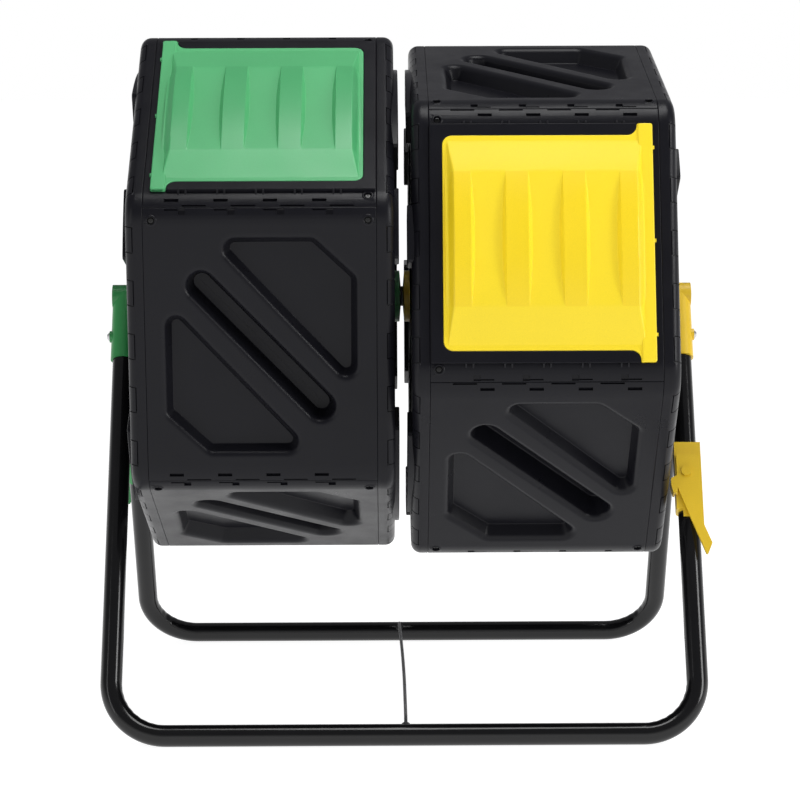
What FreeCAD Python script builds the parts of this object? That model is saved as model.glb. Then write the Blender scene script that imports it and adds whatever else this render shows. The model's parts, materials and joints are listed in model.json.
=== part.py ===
"""Twin-drum compost tumbler on a stand of two bent steel tubes.

Frame of reference: millimetres, +Z up, +X to the right, the front faces -Y.
The origin is on the ground under the middle of the axle.

Angles round the axle are counted from the front (-Y) up over the top.  A drum is
built as the left one and turned half a turn about Z to become the right one, so
its own angles and its own X run the same way on both.
"""
import FreeCAD, Part
import os
from math import atan2, cos, degrees, hypot, pi, radians, sin, tan

V = FreeCAD.Vector
X_AXIS, Y_AXIS, Z_AXIS = V(1, 0, 0), V(0, 1, 0), V(0, 0, 1)

# ---------------------------------------------------------------- driving dimensions
AXLE_HEIGHT = 487.5
AXLE_R = 10.0
AXLE_HALF = 347.0
RUNNING_GAP = 0.05
OVERCUT = 1.0
SAME_HEIGHT = 0.01
RIGHT_ANGLE, HALF_TURN = 90.0, 180.0

TUBE_R = 12.5
TUBE_WALL = 1.2
LEG_X = 335.5
FOOT_Y = 280.0
BEND_R = 64.0
LEG_TOP = 30.0

HEX_R = 320.0
FOLD_R = 42.0
WALL = 3.0
DRUM_MID_X = 159.0
PANEL_LENGTH = 259.0
CAP_RIM = 20.0
CAP_EDGE_R = 12.0
LIP_LENGTH = 17.0
LIP_GAP = 0.2
SIDES = 6
SIDE_ANGLE = 60.0
HALF_CORNER = 30.0
APOTHEM = HEX_R * cos(radians(HALF_CORNER))
SEAM_U = PANEL_LENGTH / 2
CAP_U = SEAM_U + CAP_RIM
DOOR_ANGLE = {"left": 53.46, "right": 162.72}

POCKET_DEPTH, POCKET_RUN, POCKET_CORNER = 17.0, 10.0, 13.5
SLOT_DEPTH, SLOT_RUN, SLOT_LENGTH, SLOT_WIDTH, SLOT_TILT = 30.0, 12.0, 224.0, 33.0, -46.3
PENTAGON = [(-58.8, 123.4), (108.1, -57.0), (108.1, 78.4), (60.3, 123.4)]

SCREW_U, SCREW_V = 120.0, 143.0
SCREW_R, SCREW_HEAD_R, SCREW_LENGTH = 2.0, 4.0, 8.0
SCREW_BOSS_R, SCREW_BOSS_RISE, SCREW_SINK = 6.0, 0.5, 1.5
SCREW_CLEARANCE = 0.1

# Raised curved pads on the end walls: (start, sweep) in the drum's own angles, three times round.
RING_OUTER_R, RING_INNER_R, RING_RISE = 273.0, 228.0, 5.0
RING_REPEATS, RING_REPEAT_ANGLE = 3, 120.0
RING_PADS = {
    ("left", "outer"): [(14.0, 17.8), (64.2, 27.6)],
    ("left", "inner"): [(14.0, 17.8), (43.8, 48.0)],
    ("right", "outer"): [(137.0, 9.0)],
    ("right", "inner"): [(90.0, 35.0), (152.7, 14.3)],
}
SECTOR_INNER, SECTOR_OUTER, SECTOR_EDGE, SECTOR_CORNER = 70.0, 196.0, 16.0, 14.0
SECTOR_DEPTH, SECTOR_RUN = 7.0, 7.0
VENT_R, VENT_PITCH, VENT_AT = 3.0, 12.0, 135.0
VENT_ROWS, VENT_COLUMNS, VENTED_SIDES = (-1, 0, 1), (-2, -1, 0, 1, 2), (1, 4)

HUB_FLANGE_R, HUB_BARREL_R, HUB_LENGTH = 31.0, 16.0, 16.0
HUB_NUT_R, HUB_NUT_THICK, HUB_NUT_CORNER = 26.0, 8.0, 2.0
MIDDLE_RIM_X, MIDDLE_FACE_X, MIDDLE_WASHER_R = 2.8, 1.2, 12.0
THRUST_GAP = 0.2

FRAME_RISE, FRAME_HALF_V, OPENING_HALF_V, OPENING_U = 4.5, 137.0, 123.5, 115.0
OPENING_CORNER = 11.0
HATCH_HALF_V, HATCH_U = 104.0, 92.0
GROOVE_DEPTH, GROOVE_TOP = 5.5, 2.5
FLANGE_U, FLANGE_END_U, FLANGE_HALF_V, FLANGE_FILLET, FLANGE_CORNER = 104.0, 121.5, 139.0, 11.0, 2.0
DOOR_GAP = 0.3
DOOR_PLATE_TOP, FLANGE_TOP, PLATEAU_TOP = 4.5, 6.0, 13.0
PLATEAU_FOOT = (-113.0, 114.0)
PLATEAU_FLAT = (-79.0, 74.0)
PLATEAU_HALF_U, PLATEAU_SIDE, PLATEAU_CORNER = 110.0, 5.0, 4.0
RIB_WIDTH, RIB_PITCH, RIB_RISE, RIB_SINK, RIB_COUNT = 25.0, 64.0, 7.0, 0.2, 4
GUSSET_PITCH, GUSSET_GAP, GUSSET_COUNT = 43.0, 8.0, 5
GUSSET_THICK, GUSSET_RUN = 2.0, 5.0
NUB_V = (-109.0, -2.0, 105.0)
NUB_SIZE = (2.0, 4.0, 3.0)

BRACKET_R, BRACKET_REACH = 15.0, 84.0
BOSS_INNER_X, BOSS_OUTER_X = 318.0, 350.5
BOLT_AT, BOLT_R, BOLT_HEAD_R, BOLT_HEAD = 53.0, 3.0, 6.0, 3.0
PAD_R, PAD_RISE = 7.0, 2.0
NUT_R, NUT_THICK = 5.8, 5.0

LOCK_TOP, LOCK_BOTTOM = 200.0, 284.0
LOCK_HALF, LOCK_FRONT, LOCK_BACK_R = 15.5, 16.0, 15.5
PIVOT_AT, PIVOT_X, PIVOT_R, PIVOT_HEAD_R, PIVOT_ROOT = 238.7, -2.9, 4.0, 6.0, 12.9
LOCK_TAB = (8.0, 9.0, 2.5)
LEVER_BACK, LEVER_THICK, LEVER_GAP = 16.5, 4.0, 0.3
LEVER_OUTLINE = [(-14.0, 22.0), (-14.0, -19.5), (17.0, -105.5), (23.5, -89.5), (15.0, -67.0), (15.0, 22.0)]
LEVER_CORNER = 1.5
PIN_HEAD = 2.0
TONGUE_LOW = 6.0
TONGUE = [(-12.0, -4.0), (-20.6, -8.5), (-21.3, -11.5), (-21.3, -17.0), (-19.0, -26.7), (-14.4, -28.5)]
TONGUE_CLEAR_X = -17.0

CORD_R = 2.0
GROMMET_TILT, GROMMET_R, GROMMET_SHANK_R, GROMMET_RISE = 40.0, 5.0, 3.2, 2.0
CORD_FIRST_RUN, CORD_X_REAR, CORD_X_FRONT, CORD_MID_Z = 10.5, -3.0, 1.2, 25.5
ARC_SHARE = 0.45


# ---------------------------------------------------------------- small helpers
def save(name, shape):
    """Write one node and print its size, so that an invalid shape shows at once."""
    shape.exportStep("parts/%s.step" % name)
    box = shape.BoundBox
    print("%-22s solids %2d valid %s volume %.0f" % (name, len(shape.Solids), shape.isValid(), shape.Volume))
    print("    x %.1f..%.1f y %.1f..%.1f z %.1f..%.1f" % (
        box.XMin, box.XMax, box.YMin, box.YMax, box.ZMin, box.ZMax))


def block(x0, x1, y0, y1, z0, z1):
    return Part.makeBox(x1 - x0, y1 - y0, z1 - z0, V(x0, y0, z0))


def rod(radius, start, end):
    """A cylinder between two points."""
    return Part.makeCylinder(radius, (end - start).Length, start, end - start)


def x_rod(radius, x0, x1, height=AXLE_HEIGHT):
    return rod(radius, V(x0, 0, height), V(x1, 0, height))


def offset_outline(points, distance):
    """Grow (or shrink, when negative) a convex counter-clockwise outline by parallel edges."""
    edges = []
    count = len(points)
    for i in range(count):
        (x0, y0), (x1, y1) = points[i], points[(i + 1) % count]
        length = hypot(x1 - x0, y1 - y0)
        nx, ny = (y1 - y0) / length, -(x1 - x0) / length
        edges.append((nx, ny, nx * x0 + ny * y0 + distance))
    result = []
    for i in range(count):
        (a, b, c), (d, e, f) = edges[i - 1], edges[i]
        det = a * e - b * d
        result.append(((c * e - b * f) / det, (a * f - c * d) / det))
    return result


def rounded_wire(points, radius, z=0.0):
    """Close an outline with its corners rounded, at height z in its own plane."""
    corners = []
    count = len(points)
    for i in range(count):
        before, here, after = (V(p[0], p[1], z) for p in (points[i - 1], points[i], points[(i + 1) % count]))
        back, on = (before - here).normalize(), (after - here).normalize()
        half = back.getAngle(on) / 2
        reach = radius / tan(half)
        middle = here + (back + on).normalize() * (radius / sin(half) - radius)
        corners.append((here + back * reach, middle, here + on * reach))
    edges = []
    for i, (start, middle, end) in enumerate(corners):
        edges.append(Part.Arc(start, middle, end).toShape())
        edges.append(Part.LineSegment(end, corners[(i + 1) % count][0]).toShape())
    return Part.Wire(edges)


def prism(points, radius, z0, z1):
    face = Part.Face(rounded_wire(points, radius, z0) if radius else polygon(points, z0))
    return face.extrude(V(0, 0, z1 - z0))


def polygon(points, z=0.0):
    return Part.makePolygon([V(x, y, z) for x, y in points + points[:1]])


def tapered(low, low_radius, low_z, high, high_radius, high_z):
    """A solid between two rounded outlines with the same number of corners."""
    wires = [rounded_wire(low, low_radius, low_z), rounded_wire(high, high_radius, high_z)]
    return Part.makeLoft(wires, True, True)


def pocket(outline, corner, run, depth, skin=0.0):
    """The space of a sloping-sided pocket below z = 0, or with skin its outer form."""
    slope = run / depth
    top = 0.0 if skin else OVERCUT
    rim = offset_outline(outline, skin + top * slope)
    low = -depth - skin
    floor = offset_outline(outline, skin + low * slope + skin * slope)
    floor_corner = max(corner - run + skin, SCREW_R)
    return tapered(floor, floor_corner, low, rim, corner + skin + top * slope, top)


def rotated(points, angle):
    c, s = cos(radians(angle)), sin(radians(angle))
    return [(x * c - y * s, x * s + y * c) for x, y in points]


def hexagon(grow=0.0):
    """Corners of the drum's hexagon, flat sides square to +Z."""
    radius = (APOTHEM + grow) / cos(radians(HALF_CORNER))
    return regular(radius)


def regular(radius):
    """Corners of a six-sided outline, the first one on the x axis."""
    angles = [radians(SIDE_ANGLE * k) for k in range(SIDES)]
    return [(radius * cos(a), radius * sin(a)) for a in angles]


# ---------------------------------------------------------------- placing
def on_drum(shape, side, angle):
    """Stand a shape drawn flat (x along the drum, y round it, z outwards) on a side of a drum."""
    placed = shape.copy()
    placed.translate(V(0, 0, APOTHEM))
    placed.rotate(V(0, 0, 0), X_AXIS, RIGHT_ANGLE - angle)
    return onto_side(placed, side)


def onto_side(shape, side):
    """Move a drum piece, drawn about its own middle, to the left or the right drum."""
    placed = shape.copy()
    placed.translate(V(-DRUM_MID_X, 0, AXLE_HEIGHT))
    return half_turn(placed) if side == "right" else placed


def half_turn(shape):
    turned = shape.copy()
    turned.rotate(V(0, 0, 0), Z_AXIS, HALF_TURN)
    return turned


def cap_to_drum(shape, side, end, turn):
    """A cap is drawn in its plane (x forward, y up, z outwards from the seam)."""
    placed = shape.copy()
    placed.rotate(V(0, 0, 0), Z_AXIS, turn)
    seam = -SEAM_U
    if end == "inner":
        placed = placed.mirror(V(0, 0, 0), Z_AXIS)
        seam = SEAM_U
    # drawn x (front) -> -Y, drawn y (up) -> +Z, drawn z -> -X
    stand = FreeCAD.Rotation(V(0, -1, 0), V(0, 0, 1), V(-1, 0, 0), "ZXY")
    placed.Placement = FreeCAD.Placement(V(seam, 0, 0), stand).multiply(placed.Placement)
    return onto_side(placed, side)


# ---------------------------------------------------------------- drum panels
def sheet_profile():
    """Section of a side panel: a flat with half a fold at each edge, cut on the corner's bisector."""
    flat_v = APOTHEM * tan(radians(HALF_CORNER)) - FOLD_R * tan(radians(HALF_CORNER))

    def bent(radius, angle, sign):
        a = radians(angle)
        return V(-SEAM_U, sign * (flat_v + radius * sin(a)), -FOLD_R + radius * cos(a))

    edges = []
    inner = FOLD_R - WALL
    half = HALF_CORNER
    for radius in (FOLD_R, inner):
        edges.append(Part.LineSegment(bent(radius, 0, -1), bent(radius, 0, 1)))
        for sign in (-1, 1):
            start, middle, end = (bent(radius, share * half, sign) for share in (0, 1 / 2, 1))
            edges.append(Part.Arc(start, middle, end))
    for sign in (-1, 1):
        edges.append(Part.LineSegment(bent(FOLD_R, half, sign), bent(inner, half, sign)))
    return Part.Wire(Part.__sortEdges__([edge.toShape() for edge in edges]))


def bare_sheet():
    return Part.Face(sheet_profile()).extrude(V(PANEL_LENGTH, 0, 0))


def with_screw_seats(sheet, places):
    """Raise a boss round each screw, sink its head and drill its hole."""
    for u, v in places:
        sheet = sheet.fuse(rod(SCREW_BOSS_R, V(u, v, -WALL), V(u, v, SCREW_BOSS_RISE)))
    for u, v in places:
        sheet = sheet.cut(rod(SCREW_HEAD_R + SCREW_CLEARANCE, V(u, v, -SCREW_SINK), V(u, v, WALL)))
        sheet = sheet.cut(rod(SCREW_R + SCREW_CLEARANCE, V(u, v, -SCREW_LENGTH), V(u, v, WALL)))
    return sheet


def plain_panel():
    """A side panel with two five-sided pockets and a slanting slot between them."""
    other = [(-x, -y) for x, y in PENTAGON]
    half_l, half_w = SLOT_LENGTH / 2, SLOT_WIDTH / 2
    slot = rotated([(-half_l, -half_w), (half_l, -half_w), (half_l, half_w), (-half_l, half_w)], SLOT_TILT)
    pockets = [
        (PENTAGON, POCKET_CORNER, POCKET_RUN, POCKET_DEPTH),
        (other, POCKET_CORNER, POCKET_RUN, POCKET_DEPTH),
        (slot, half_w - DOOR_GAP, SLOT_RUN, SLOT_DEPTH),
    ]
    sheet = bare_sheet()
    for outline, corner, run, depth in pockets:
        sheet = sheet.fuse(pocket(outline, corner, run, depth, WALL))
    for outline, corner, run, depth in pockets:
        sheet = sheet.cut(pocket(outline, corner, run, depth))
    return with_screw_seats(sheet, plain_screws())


def plain_screws():
    return [(-SCREW_U, SCREW_V), (SCREW_U, SCREW_V)]


def door_screws():
    return [(SCREW_U, -SCREW_V), (SCREW_U, SCREW_V)]


def gussets():
    """Pairs of small triangular webs between the raised door frame and the panel."""
    webs = []
    middle = (GUSSET_COUNT - 1) / 2
    for sign in (-1, 1):
        for i in range(GUSSET_COUNT):
            for side in (-1, 1):
                u = (i - middle) * GUSSET_PITCH + side * GUSSET_GAP / 2
                foot = sign * FRAME_HALF_V
                start, crest = u - GUSSET_THICK / 2, FRAME_RISE - GUSSET_THICK / 2
                back, front = foot - sign * WALL, foot + sign * GUSSET_RUN
                corners = [(back, -WALL / 2), (front, -WALL / 2), (foot, crest), (back, crest)]
                face = Part.Face(Part.makePolygon([V(start, v, n) for v, n in corners + corners[:1]]))
                webs.append(face.extrude(V(GUSSET_THICK, 0, 0)))
    return webs


def door_panel():
    """The panel with the loading hatch: a raised frame on three sides whose grooves guide the door."""
    rail_end = -FLANGE_U + DOOR_GAP
    frame = prism([(rail_end, -FRAME_HALF_V), (SEAM_U, -FRAME_HALF_V),
                   (SEAM_U, FRAME_HALF_V), (rail_end, FRAME_HALF_V)], 0, -WALL / 2, FRAME_RISE)
    bay_outline = [(-CAP_U, -OPENING_HALF_V), (OPENING_U, -OPENING_HALF_V),
                   (OPENING_U, OPENING_HALF_V), (-CAP_U, OPENING_HALF_V)]
    bay = prism(bay_outline, OPENING_CORNER, 0, FRAME_RISE + OVERCUT)
    for sign in (-1, 1):
        hollow = rail_end + FLANGE_FILLET
        corner = block(rail_end - OVERCUT, hollow, 0, FLANGE_FILLET, 0, FRAME_RISE + OVERCUT)
        foot = V(hollow, FLANGE_FILLET, -WALL)
        corner = corner.cut(rod(FLANGE_FILLET, foot, foot + Z_AXIS * (2 * FLANGE_FILLET)))
        corner.translate(V(0, OPENING_HALF_V, 0))
        bay = bay.fuse(corner if sign > 0 else corner.mirror(V(0, 0, 0), Y_AXIS))
    groove = OPENING_HALF_V + GROOVE_DEPTH
    bay = bay.fuse(block(-CAP_U, OPENING_U - OPENING_CORNER, -groove, groove, 0, GROOVE_TOP))
    hatch = prism([(-HATCH_U, -HATCH_HALF_V), (HATCH_U, -HATCH_HALF_V),
                   (HATCH_U, HATCH_HALF_V), (-HATCH_U, HATCH_HALF_V)], OPENING_CORNER, -2 * WALL, WALL)
    sheet = bare_sheet().fuse(frame).fuse(gussets())
    return with_screw_seats(sheet.cut(bay).cut(hatch), door_screws())


def door():
    """The sliding door: a flat plate, a cross flange at its outer end and a ribbed raised field."""
    inner_u = OPENING_U - DOOR_GAP
    half_v = OPENING_HALF_V - DOOR_GAP
    start_u = -FLANGE_U - FLANGE_CORNER
    plate = prism([(start_u, -half_v), (inner_u, -half_v), (inner_u, half_v), (start_u, half_v)],
                  OPENING_CORNER - DOOR_GAP, DOOR_GAP, DOOR_PLATE_TOP)
    hollow = -FLANGE_U + FLANGE_FILLET
    plate = plate.fuse(block(-FLANGE_END_U, hollow, -half_v, half_v, DOOR_GAP, DOOR_PLATE_TOP))
    flange_outline = [(-FLANGE_END_U, -FLANGE_HALF_V), (-FLANGE_U, -FLANGE_HALF_V),
                      (-FLANGE_U, FLANGE_HALF_V), (-FLANGE_END_U, FLANGE_HALF_V)]
    flange = prism(flange_outline, FLANGE_CORNER, DOOR_GAP, FLANGE_TOP)
    body = plate.fuse(flange)
    for sign in (-1, 1):
        centre = half_v + FLANGE_FILLET
        corner = block(-FLANGE_U - OVERCUT, hollow, half_v - OVERCUT, centre, DOOR_GAP, DOOR_PLATE_TOP)
        corner = corner.cut(rod(FLANGE_FILLET, V(hollow, centre, -WALL), V(hollow, centre, FLANGE_FILLET)))
        body = body.fuse(corner if sign > 0 else corner.mirror(V(0, 0, 0), Y_AXIS))
    tongue_half = OPENING_HALF_V + GROOVE_DEPTH - 2 * DOOR_GAP
    tongue_u = OPENING_U - OPENING_CORNER - DOOR_GAP
    body = body.fuse(block(hollow, tongue_u, -tongue_half, tongue_half, DOOR_GAP, GROOVE_TOP - DOOR_GAP))
    body = body.fuse(raised_field(0.0))
    for rib in ribs():
        body = body.fuse(rib)
    for v in NUB_V:
        nub_u, nub_v, nub_n = NUB_SIZE
        start = -FLANGE_END_U - nub_u
        body = body.fuse(block(start, start + 2 * nub_u, v - nub_v / 2, v + nub_v / 2, DOOR_GAP, nub_n))
    return body.cut(raised_field(-WALL))


def raised_field(grow):
    """The door's raised field as a solid; with a negative grow, the hollow under it."""
    low_v, high_v = PLATEAU_FOOT
    flat_low, flat_high = PLATEAU_FLAT
    half = PLATEAU_HALF_U + grow
    foot = DOOR_PLATE_TOP if grow == 0 else -OVERCUT
    top = PLATEAU_TOP + grow
    base = [(-half, low_v - grow), (half, low_v - grow), (half, high_v + grow), (-half, high_v + grow)]
    inset = half - PLATEAU_SIDE
    crest = [(-inset, flat_low), (inset, flat_low), (inset, flat_high), (-inset, flat_high)]
    if grow == 0:
        return tapered(base, PLATEAU_CORNER, foot, crest, PLATEAU_CORNER, top)
    field = tapered(base, PLATEAU_CORNER, DOOR_GAP, crest, PLATEAU_CORNER, top)
    return field.fuse(prism(base, PLATEAU_CORNER, foot, DOOR_GAP))


def ribs():
    """Bowed ribs across the raised field, highest in the middle."""
    low, high = PLATEAU_FLAT
    shapes = []
    middle = (low + high) / 2
    root, edge = PLATEAU_TOP - WALL / 2, PLATEAU_TOP - RIB_SINK
    for i in range(RIB_COUNT):
        u = (i - (RIB_COUNT - 1) / 2) * RIB_PITCH - RIB_WIDTH / 2
        start, crest, end = V(u, low, edge), V(u, middle, PLATEAU_TOP + RIB_RISE), V(u, high, edge)
        bow = Part.Arc(start, crest, end)
        base = Part.makePolygon([end, V(u, high, root), V(u, low, root), start])
        face = Part.Face(Part.Wire([bow.toShape()] + base.Edges))
        shapes.append(face.extrude(V(RIB_WIDTH, 0, 0)))
    return shapes


def screws(places):
    """Pan-head screws for one side of a drum."""
    shapes = []
    for u, v in places:
        head = rod(SCREW_HEAD_R, V(u, v, -SCREW_SINK), V(u, v, 0))
        shapes.append(head.fuse(rod(SCREW_R, V(u, v, -SCREW_LENGTH), V(u, v, -SCREW_SINK))))
    return shapes


# ---------------------------------------------------------------- drum ends
def ring_sector(inner, outer, start, sweep, z0, z1):
    """Part of a flat ring round the z axis."""
    outer_part = Part.makeCylinder(outer, z1 - z0, V(0, 0, z0), Z_AXIS, sweep)
    inner_part = rod(inner, V(0, 0, z0 - OVERCUT), V(0, 0, z1 + OVERCUT))
    sector = outer_part.cut(inner_part)
    sector.rotate(V(0, 0, 0), Z_AXIS, start)
    return sector


def sector_pocket_outline(side):
    """A four-sided pocket between two corners of the end wall."""
    slope = tan(radians(HALF_CORNER))
    edge = SECTOR_EDGE / cos(radians(HALF_CORNER)) / 2
    near, far = SECTOR_INNER * slope - edge, SECTOR_OUTER * slope - edge
    outline = [(SECTOR_INNER, -near), (SECTOR_OUTER, -far), (SECTOR_OUTER, far), (SECTOR_INNER, near)]
    return rotated(outline, SIDE_ANGLE * side + HALF_CORNER)


def sector_shape(side, skin):
    shape = pocket(sector_pocket_outline(side), SECTOR_CORNER, SECTOR_RUN, SECTOR_DEPTH, skin)
    shape.translate(V(0, 0, CAP_RIM))
    return shape


def edge_rounded(solid, z, radius):
    """Round every edge that lies at height z."""
    edges = []
    for edge in solid.Edges:
        box = edge.BoundBox
        if abs(box.ZMin - z) < SAME_HEIGHT and abs(box.ZMax - z) < SAME_HEIGHT:
            edges.append(edge)
    return solid.makeFillet(radius, edges)


def ring_pads(side, end, low):
    """The raised pads of one end wall, from height low to their top, in the cap's own plane."""
    pads = []
    for repeat in range(RING_REPEATS):
        turn = repeat * RING_REPEAT_ANGLE - DOOR_ANGLE[side] - HALF_CORNER
        for start, sweep in RING_PADS[side, end]:
            pads.append(ring_sector(RING_INNER_R, RING_OUTER_R, start + turn, sweep, low,
                                    CAP_RIM + RING_RISE))
    return pads


def cap_shell():
    """Rim, end wall and lip of an end cap, its seam at z = 0 and its face at z = CAP_RIM."""
    outside = edge_rounded(prism(hexagon(), FOLD_R, 0, CAP_RIM), CAP_RIM, CAP_EDGE_R)
    inside = prism(hexagon(-WALL), FOLD_R - WALL, -OVERCUT, CAP_RIM - WALL)
    inside = edge_rounded(inside, CAP_RIM - WALL, CAP_EDGE_R - WALL)
    lip_out, lip_in = WALL + LIP_GAP, 2 * WALL + LIP_GAP
    lip = prism(hexagon(-lip_out), FOLD_R - lip_out, -LIP_LENGTH, WALL)
    lip = lip.cut(prism(hexagon(-lip_in), FOLD_R - lip_in, -LIP_LENGTH - OVERCUT, WALL + OVERCUT))
    step = prism(hexagon(-WALL / 2), FOLD_R - WALL / 2, 0, WALL)
    step = step.cut(prism(hexagon(-lip_in), FOLD_R - lip_in, -OVERCUT, WALL + OVERCUT))
    return outside.cut(inside).fuse([lip, step])


def end_cap(side, end):
    """An end cap with six pockets and a bore; the outer one has air holes, the inner one its pads."""
    shell = cap_shell().fuse([sector_shape(index, WALL) for index in range(SIDES)])
    for index in range(SIDES):
        shell = shell.cut(sector_shape(index, 0))
    if end == "outer":
        shell = shell.cut(vents())
    else:
        shell = shell.fuse(ring_pads(side, end, CAP_RIM - WALL))
    return shell.cut(rod(HUB_BARREL_R, V(0, 0, -OVERCUT), V(0, 0, CAP_RIM + WALL)))


def vents():
    """Round air holes in the floors of two opposite pockets."""
    holes = []
    for side in VENTED_SIDES:
        angle = SIDE_ANGLE * side + HALF_CORNER
        for row in VENT_ROWS:
            for column in VENT_COLUMNS:
                x = VENT_AT + row * VENT_PITCH
                place = rotated([(x, column * VENT_PITCH)], angle)[0]
                holes.append(rod(VENT_R, V(place[0], place[1], 0), V(place[0], place[1], CAP_RIM)))
    return holes


def outer_hub():
    """Flanged bush in the outer cap, drawn along the drum's own x."""
    face = -CAP_U
    shape = x_rod(HUB_FLANGE_R, face - RING_RISE, face, 0)
    shape = shape.fuse(x_rod(HUB_BARREL_R, face, face + HUB_LENGTH, 0))
    return shape.cut(x_rod(AXLE_R + RUNNING_GAP, face - 2 * RING_RISE, face + 2 * HUB_LENGTH, 0))


def inner_hub():
    """Flanged bush in the inner cap with a coned face towards the other drum."""
    face = CAP_U
    rim = DRUM_MID_X - MIDDLE_RIM_X
    nose = DRUM_MID_X - MIDDLE_FACE_X
    shape = x_rod(HUB_FLANGE_R, face, rim, 0)
    shape = shape.fuse(x_rod(HUB_BARREL_R, face - HUB_LENGTH, face, 0))
    shape = shape.fuse(Part.makeCone(HUB_FLANGE_R, MIDDLE_WASHER_R, nose - rim, V(rim, 0, 0), X_AXIS))
    return shape.cut(x_rod(AXLE_R + RUNNING_GAP, face - 2 * HUB_LENGTH, DRUM_MID_X, 0))


def hub_nut(start):
    """Six-sided ring nut on a hub's barrel, inside the drum."""
    nut = prism(regular(HUB_NUT_R), HUB_NUT_CORNER, 0, HUB_NUT_THICK)
    nut = nut.cut(rod(HUB_BARREL_R, V(0, 0, -OVERCUT), V(0, 0, HUB_NUT_THICK + OVERCUT)))
    nut.rotate(V(0, 0, 0), Y_AXIS, RIGHT_ANGLE)
    nut.translate(V(start, 0, 0))
    return nut


def make_drum(side):
    """Write every node of one drum and of its door."""
    door_angle = DOOR_ANGLE[side]
    plain = plain_panel()
    fasteners = [on_drum(s, side, door_angle) for s in screws(door_screws())]
    for i in range(1, SIDES):
        angle = door_angle + SIDE_ANGLE * i
        save("%s_panel_%d" % (side, i), on_drum(plain, side, angle))
        fasteners += [on_drum(s, side, angle) for s in screws(plain_screws())]
    save("%s_door_panel" % side, on_drum(door_panel(), side, door_angle))
    save("%s_door" % side, on_drum(door(), side, door_angle))
    save("%s_panel_screws" % side, Part.makeCompound(fasteners))
    for end in ("outer", "inner"):
        cap = cap_to_drum(end_cap(side, end), side, end, door_angle + HALF_CORNER)
        save("%s_%s_cap" % (side, end), cap.cut(screw_holes(side, door_angle)))
    pads = Part.makeCompound(ring_pads(side, "outer", CAP_RIM))
    save("%s_lock_pads" % side, cap_to_drum(pads, side, "outer", door_angle + HALF_CORNER))
    save("%s_outer_hub" % side, onto_side(outer_hub(), side))
    save("%s_inner_hub" % side, onto_side(inner_hub(), side))
    save("%s_outer_hub_nut" % side, onto_side(hub_nut(-CAP_U + WALL), side))
    save("%s_inner_hub_nut" % side, onto_side(hub_nut(CAP_U - WALL - HUB_NUT_THICK), side))


def screw_holes(side, door_angle):
    """Holes for every panel screw of a drum, through the lips of its caps."""
    places = [(u, v, door_angle) for u, v in door_screws()]
    for i in range(1, SIDES):
        places += [(u, v, door_angle + SIDE_ANGLE * i) for u, v in plain_screws()]
    holes = []
    for u, v, angle in places:
        hole = rod(SCREW_R + SCREW_CLEARANCE, V(u, v, -SCREW_LENGTH - OVERCUT), V(u, v, 0))
        holes.append(on_drum(hole, side, angle))
    return holes


# ---------------------------------------------------------------- stand
LEG_LENGTH = hypot(FOOT_Y, AXLE_HEIGHT - TUBE_R)
LEG_DIR = V(0, -FOOT_Y / LEG_LENGTH, -(AXLE_HEIGHT - TUBE_R) / LEG_LENGTH)
LEG_OUT = V(0, LEG_DIR.z, -LEG_DIR.y)
AXLE_POINT = V(0, 0, AXLE_HEIGHT)


def on_leg(x, along, out=0.0):
    """A point by its x, its distance down the front leg from the axle and its height above the leg."""
    return AXLE_POINT + V(x, 0, 0) + LEG_DIR * along + LEG_OUT * out


def bent_rod(radius):
    """Solid of the front frame's shape: down one leg, round a bend, across the ground and up again."""
    bend = LEG_LENGTH - BEND_R
    inset = LEG_X - BEND_R
    half = BEND_R * sin(pi / 4)
    edges = [Part.LineSegment(on_leg(inset, LEG_LENGTH), on_leg(-inset, LEG_LENGTH)).toShape()]
    for sign in (-1, 1):
        knee, toe = on_leg(sign * LEG_X, bend), on_leg(sign * inset, LEG_LENGTH)
        middle = on_leg(sign * (inset + half), bend + half)
        edges.append(Part.LineSegment(on_leg(sign * LEG_X, LEG_TOP), knee).toShape())
        edges.append(Part.Arc(knee, middle, toe).toShape())
    path = Part.Wire(Part.__sortEdges__(edges))
    section = Part.Wire([Part.makeCircle(radius, path.OrderedVertexes[0].Point, LEG_DIR)])
    return path.makePipe(Part.Face(section))


def leg_frame():
    """Steel tube of the front frame with a bolt hole through the top of each leg."""
    tube = bent_rod(TUBE_R).cut(bent_rod(TUBE_R - TUBE_WALL))
    for sign in (-1, 1):
        middle = sign * LEG_X
        tube = tube.cut(rod(BOLT_R, on_leg(middle - BRACKET_R, BOLT_AT), on_leg(middle + BRACKET_R, BOLT_AT)))
    return tube


def grommet_frame(sign, x):
    """Seat and outward direction of the cord's grommet: sign -1 on the front tube, +1 on the rear."""
    tilt = radians(GROMMET_TILT)
    out = V(0, -sign * cos(tilt), sin(tilt))
    return V(x, sign * FOOT_Y, TUBE_R), out


def grommet(sign, x):
    centre, out = grommet_frame(sign, x)
    inside = TUBE_R - TUBE_WALL - OVERCUT
    outside = TUBE_R + GROMMET_RISE
    shank = rod(GROMMET_SHANK_R, centre + out * inside, centre + out * outside)
    flange = rod(GROMMET_R, centre + out * (TUBE_R - OVERCUT), centre + out * outside)
    tube = x_rod(TUBE_R, x - BEND_R, x + BEND_R, 0)
    tube.translate(centre - V(x, 0, 0))
    return shank.fuse(flange.cut(tube))


def grommet_hole(sign, x):
    centre, out = grommet_frame(sign, x)
    return rod(GROMMET_SHANK_R, centre, centre + out * (2 * TUBE_R))


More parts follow.
